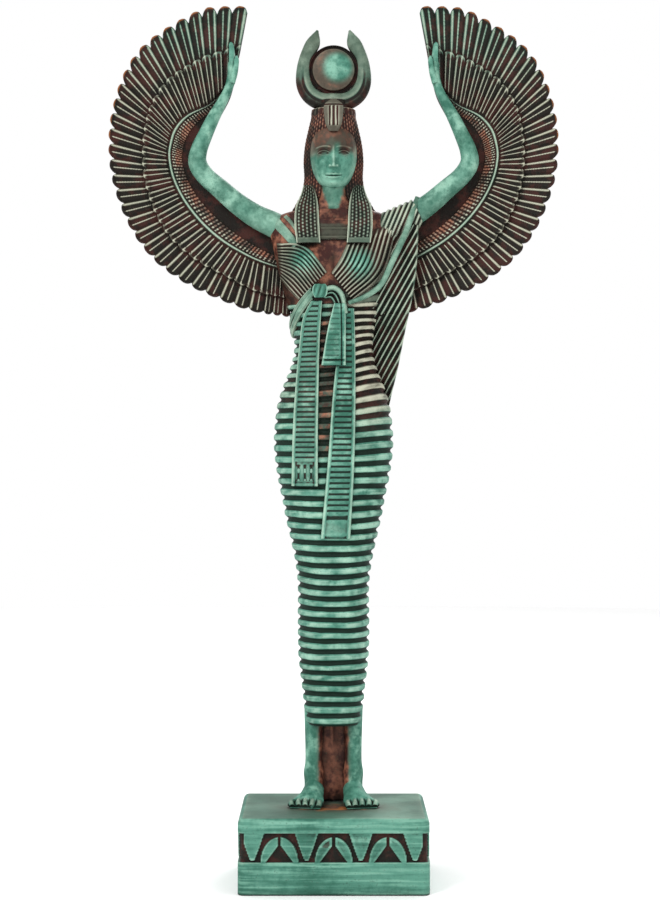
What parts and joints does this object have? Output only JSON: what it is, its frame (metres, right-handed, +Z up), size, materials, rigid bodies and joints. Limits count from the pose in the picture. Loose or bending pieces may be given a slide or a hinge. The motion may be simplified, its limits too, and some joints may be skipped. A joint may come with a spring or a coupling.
{
  "type": "winged goddess statuette",
  "caption": "Standing winged goddess with raised arms, horned sun disk, wig, pleated dress, shawl and knotted sash, on a rectangular plinth with an arch frieze.",
  "frame": {"origin": "middle of the plinth's underside", "axes": "+Z up, the goddess faces -Y, +X towards the side of the hanging shawl end (the goddess's left)"},
  "size_m": [0.1652, 0.056, 0.3197],
  "materials": {
    "figure_patina": "cast stone with a matt green bronze-like patina, brown in the recesses",
    "plinth_patina": "cast stone with a matt green bronze-like patina, brown in the recesses"
  },
  "bodies": {
    "root": {"figure": "figure_patina", "plinth": "plinth_patina"}
  },
  "joints": []
}
